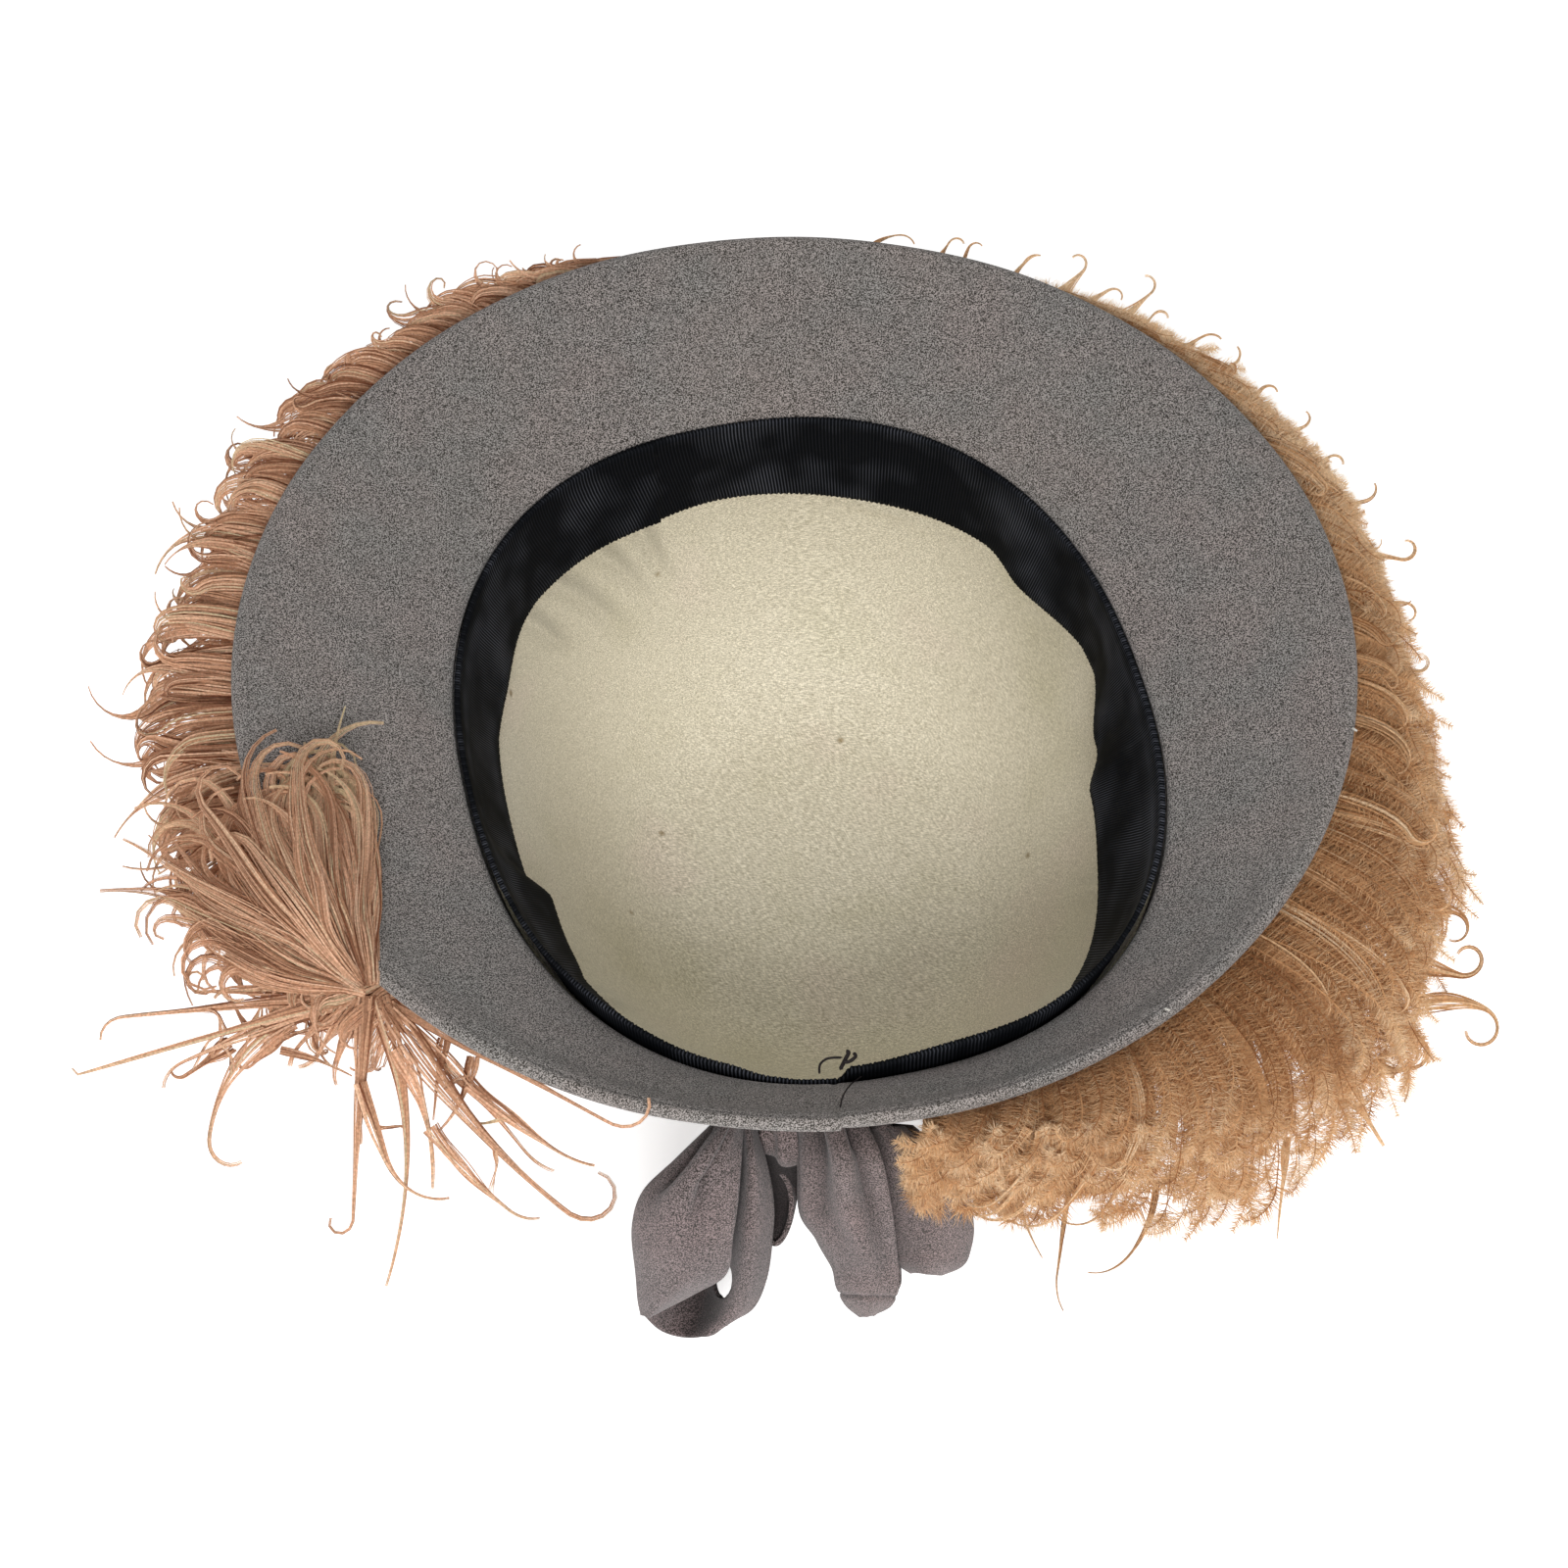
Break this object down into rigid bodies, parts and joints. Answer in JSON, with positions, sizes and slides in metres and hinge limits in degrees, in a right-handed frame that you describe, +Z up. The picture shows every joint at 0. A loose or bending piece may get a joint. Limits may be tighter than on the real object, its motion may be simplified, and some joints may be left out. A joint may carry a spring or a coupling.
{
  "type": "feathered hat",
  "caption": "Shallow domed hat with a turned-up dished brim, a lined crown with a ribbed sweatband, a ribbon bow at the back and curled plumes round both sides of the brim.",
  "frame": {"origin": "on the crown's flat tip, straight below the middle of the head opening, where the hat lies on a surface", "axes": "+Z up out of the head opening, +Y towards the front of the hat, +X to its left as worn; the bow is at -Y"},
  "size_m": [0.3012, 0.2705, 0.1168],
  "materials": {
    "crepe": "matt pebbled grey crepe over a stiff base",
    "lining_silk": "soft satin, fine cross ribs, aged cream",
    "grosgrain": "matt black ribbed ribbon with picot edges",
    "ostrich": "soft dull feather with curled strands"
  },
  "bodies": {
    "root": {"crown": "crepe", "brim": "crepe", "lining": "lining_silk", "sweatband": "grosgrain", "bow_knot": "crepe", "bow_loop_left": "crepe", "bow_loop_right": "crepe", "bow_loop_rear_left": "crepe", "bow_loop_rear_right": "crepe", "plume_left": "ostrich", "plume_left_tip": "ostrich", "plume_right": "ostrich"}
  },
  "joints": []
}
